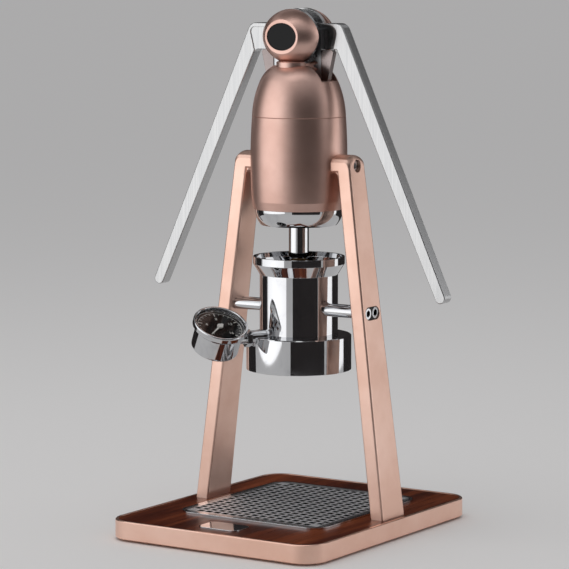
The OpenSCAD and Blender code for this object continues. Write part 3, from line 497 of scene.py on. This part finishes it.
def roundedOutline(width, depth, corner, steps):
    points = []
    for sideX, sideY, start in ((1, 1, 0), (-1, 1, 90), (-1, -1, 180), (1, -1, 270)):
        for i in range(steps + 1):
            a = math.radians(start + 90 * i / steps)
            points.append((sideX * (width / 2 - corner) + corner * math.cos(a),
                           sideY * (depth / 2 - corner) + corner * math.sin(a)))
    return points


def makePlate():                                    # bare polished plate on the wood
    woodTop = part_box("wood_inlay")[1][2]
    bm = bmesh.new()
    ring = [bm.verts.new((x + plate["place"][0], y + plate["place"][1], woodTop))
            for x, y in roundedOutline(*plate["size"], plate["corner"], plate["cornerSteps"])]
    base = bm.faces.new(ring)
    top = bmesh.ops.extrude_face_region(bm, geom=[base])["geom"]
    lifted = [v for v in top if isinstance(v, bmesh.types.BMVert)]
    bmesh.ops.translate(bm, vec=(0, 0, plate["thick"]), verts=lifted)
    rim = [e for e in bm.edges if all(v in lifted for v in e.verts)]
    bmesh.ops.bevel(bm, geom=rim, affect="EDGES", offset=plate["bevel"],
                    segments=plate["bevelSteps"], profile=plate["bevelShape"])
    bmesh.ops.recalc_face_normals(bm, faces=bm.faces)
    addPiece("barePlate", meshFrom("barePlate", bm), chrome)


makePlate()
print("bare plate made")

dial = {
    "margin": 1.0 * mm,                             # bare edge of the dial outside the scale
    "zero": math.radians(-140),
    "sweep": math.radians(270),
    "majors": 4,
    "minors": 5,
    "majorLine": (0.80, 0.32 * mm),                 # inner end as a share of the radius, half width
    "minorLine": (0.88, 0.16 * mm),
    "arcs": 60,
    "arcLine": (-0.10 * mm, 0.15 * mm),             # inner and outer edge, from the radius
    "numbers": ("0", "4", "8", "12", "16"),
    "numberRing": 0.60,
    "digit": 3.6 * mm,
    "ink": 0.06 * mm,
}


def joint(name):
    return next(j for j in frame["record"]["behaviour"]["joints"] if j["name"] == name)


def dialFrame():                                    # across, up and out of the dial, at the needle
    normal = -Vector(joint("needle_turn")["axis"]).normalized()
    middle = Vector(joint("needle_turn")["pos_m"])
    tower = Vector(joint("right_lever_turn")["pos_m"])
    across = Vector((tower.x - middle.x, tower.y - middle.y, 0)).normalized()
    place = Matrix((across, normal.cross(across), normal)).transposed().to_4x4()
    place.translation = middle
    return place


def addBlock(bm, place, corners, low, high):        # a thin printed block on four corners
    under = [bm.verts.new(place @ Vector((x, y, low))) for x, y in corners]
    over = [bm.verts.new(place @ Vector((x, y, high))) for x, y in corners]
    bm.faces.new(over)
    bm.faces.new(list(reversed(under)))
    for i in range(4):
        j = (i + 1) % 4
        bm.faces.new((under[i], under[j], over[j], over[i]))


def polar(r, a):
    return Vector((r * math.cos(a), r * math.sin(a)))


def numberMesh(word):
    text = bpy.data.curves.new("digits", "FONT")
    text.body, text.size, text.extrude = word, dial["digit"], dial["ink"] / 2
    text.align_x, text.align_y = "CENTER", "CENTER"
    holder = addObject("digits", text)
    bpy.context.view_layer.update()
    shaped = holder.evaluated_get(bpy.context.evaluated_depsgraph_get())
    shape = bpy.data.meshes.new_from_object(shaped)
    bpy.data.objects.remove(holder)
    return shape


def makeDial():
    place = dialFrame()
    white = printedWhite("dialInk")
    disc = nodes["gauge_dial"]
    points = [place.inverted() @ disc.matrix_world @ v.co for v in disc.data.vertices]
    low = max(point.z for point in points)
    high = low + dial["ink"]
    radius = max(point.xy.length for point in points) - dial["margin"]

    def angle(share):                               # clockwise from zero to the end of the scale
        return dial["zero"] - dial["sweep"] * share

    bm = bmesh.new()
    steps = dial["majors"] * dial["minors"]
    for i in range(steps + 1):                      # scale lines
        a = angle(i / steps)
        inner, half = dial["minorLine" if i % dial["minors"] else "majorLine"]
        side = polar(half, a + math.pi / 2)
        start, end = polar(radius * inner, a), polar(radius, a)
        addBlock(bm, place, (start - side, end - side, end + side, start + side), low, high)
    inner, outer = (radius + shift for shift in dial["arcLine"])
    for i in range(dial["arcs"]):                   # thin line that joins their outer ends
        a, b = angle(i / dial["arcs"]), angle((i + 1) / dial["arcs"])
        corners = polar(inner, a), polar(inner, b), polar(outer, b), polar(outer, a)
        addBlock(bm, place, corners, low, high)
    bmesh.ops.recalc_face_normals(bm, faces=bm.faces)
    addPiece("dialScale", meshFrom("dialScale", bm), white)
    upright = Matrix.Rotation(angle(0.5) - math.pi / 2, 4, "Z")     # the scale's middle is the top
    for k, word in enumerate(dial["numbers"]):
        spot = polar(radius * dial["numberRing"], angle(k / dial["majors"]))
        shape = numberMesh(word)
        shape.transform(place @ Matrix.Translation((*spot, low + dial["ink"] / 2)) @ upright)
        addPiece("dialNumber%d" % k, shape, white)


makeDial()
print("dial printed")

studio = {
    "tower": 9 * mm,                                # the tower's axis behind the middle of the base
    "floor": (0.93, 0.92, 0.905, 1),
    "floorRadius": 90,
    "floorSides": 96,
    "sky": (0.44, 0.44, 0.45, 1),
    "camera": (1122.5 * mm, -1728.5 * mm, 429.3 * mm),
    "yaw": 33.153,
    "dip": 6.938,
    "lens": 181.7,
    "sensor": 36,
    "clip": (0.05, 300),
    # degrees left of the camera, distance, middle height, width, height, watts
    "sheets": {
        "keySheet": (70, 0.85, 0.50, 1.10, 1.00, 2.2),
        "rimStrip": (-92, 0.80, 0.45, 0.58, 0.90, 0.82),
    },
    "top": ((1.5, 1.5), 3.8, (-0.2, -0.3, 1.7), (0, 0, 0.2)),   # size, watts, place and aim
    "spread": math.radians(140),                    # fades a lamp towards its own plane
    # dark cards that only reflections see: degrees left of the camera, from and to
    "flags": {"frontFlag": (18, -56), "backFlag": (106, 246)},
    "flagFar": 0.72,
    "flagEnds": (2 * mm, 0.75),                     # lower and upper edge
    "flagSteps": 12,
    "flagTone": (0.026, 0.021, 0.021, 1),
    # the same overhead: towards the camera, away from it, half width, height
    "roof": (0.15, -0.60, 0.45, 0.95),
    "matt": 0.9,                                    # roughness of floor and cards
}


def leftOfCamera(degrees, far, height):             # a point round the tower
    a = math.radians(studio["yaw"] - degrees)
    return (far * math.sin(a), studio["tower"] - far * math.cos(a), height)


def makeFloor():
    bm = bmesh.new()
    bmesh.ops.create_circle(
        bm, cap_ends=True, segments=studio["floorSides"], radius=studio["floorRadius"])
    floor = addObject("floor", meshFrom("floor", bm))
    f = Finish("paleFloor", Base_Color=studio["floor"], Roughness=studio["matt"],
               Specular_IOR_Level=0.0)
    floor.data.materials.append(f.material)
    return floor


def addCard(name, finish, low, high):               # a dark sheet between two rows of points
    bm = bmesh.new()
    near, far = [bm.verts.new(p) for p in low], [bm.verts.new(p) for p in high]
    for i in range(len(low) - 1):
        bm.faces.new((near[i], near[i + 1], far[i + 1], far[i]))
    card = addObject(name, meshFrom(name, bm))
    card.data.materials.append(finish)
    card.visible_camera = card.visible_diffuse = card.visible_shadow = False
    card.visible_transmission = False


def makeFlags():
    cloth = Finish("flagCloth", Base_Color=studio["flagTone"], Roughness=studio["matt"]).material
    steps = studio["flagSteps"]
    for name, (start, end) in studio["flags"].items():
        turns = [start + (end - start) * i / steps for i in range(steps + 1)]
        rows = [[leftOfCamera(turn, studio["flagFar"], z) for turn in turns]
                for z in studio["flagEnds"]]
        addCard(name, cloth, *rows)
    front, back, half, height = studio["roof"]
    rows = [[leftOfCamera(math.degrees(math.atan2(side, reach)), math.hypot(side, reach), height)
             for side in (half, -half)] for reach in (front, back)]
    addCard("roofFlag", cloth, *rows)


def makeLight(name, size, watts, place, aim):
    lamp = bpy.data.lights.new(name, "AREA")
    lamp.shape, lamp.energy, lamp.spread = "RECTANGLE", watts, studio["spread"]
    lamp.size, lamp.size_y = size
    holder = addObject(name, lamp)
    holder.location = place
    holder.rotation_euler = (Vector(aim) - Vector(place)).to_track_quat("-Z", "Y").to_euler()
    holder.visible_camera = False
    return holder


def makeLights(floor):                              # the upright sheets leave the floor out
    unlit = bpy.data.collections.new("sheetsLeaveOut")
    unlit.objects.link(floor)
    unlit.collection_objects[0].light_linking.link_state = "EXCLUDE"
    for name, (left, far, height, wide, tall, watts) in studio["sheets"].items():
        place, aim = leftOfCamera(left, far, height), (0, studio["tower"], height)
        sheet = makeLight(name, (wide, tall), watts, place, aim)
        sheet.light_linking.receiver_collection = unlit
    makeLight("topSheet", *studio["top"])
    world = bpy.data.worlds.new("studioSky")
    world.use_nodes = True
    world.node_tree.nodes["Background"].inputs["Color"].default_value = studio["sky"]
    bpy.context.scene.world = world


def makeCamera():
    eye = bpy.data.cameras.new("eye")
    eye.lens, eye.sensor_width, eye.sensor_fit = studio["lens"], studio["sensor"], "HORIZONTAL"
    eye.clip_start, eye.clip_end = studio["clip"]
    holder = addObject("eye", eye)
    holder.location = studio["camera"]
    holder.rotation_euler = (math.radians(90 - studio["dip"]), 0, math.radians(studio["yaw"]))
    bpy.context.scene.camera = holder
    bpy.context.scene.view_settings.view_transform = "Standard"


makeFlags()
makeLights(makeFloor())
makeCamera()
print("studio set")
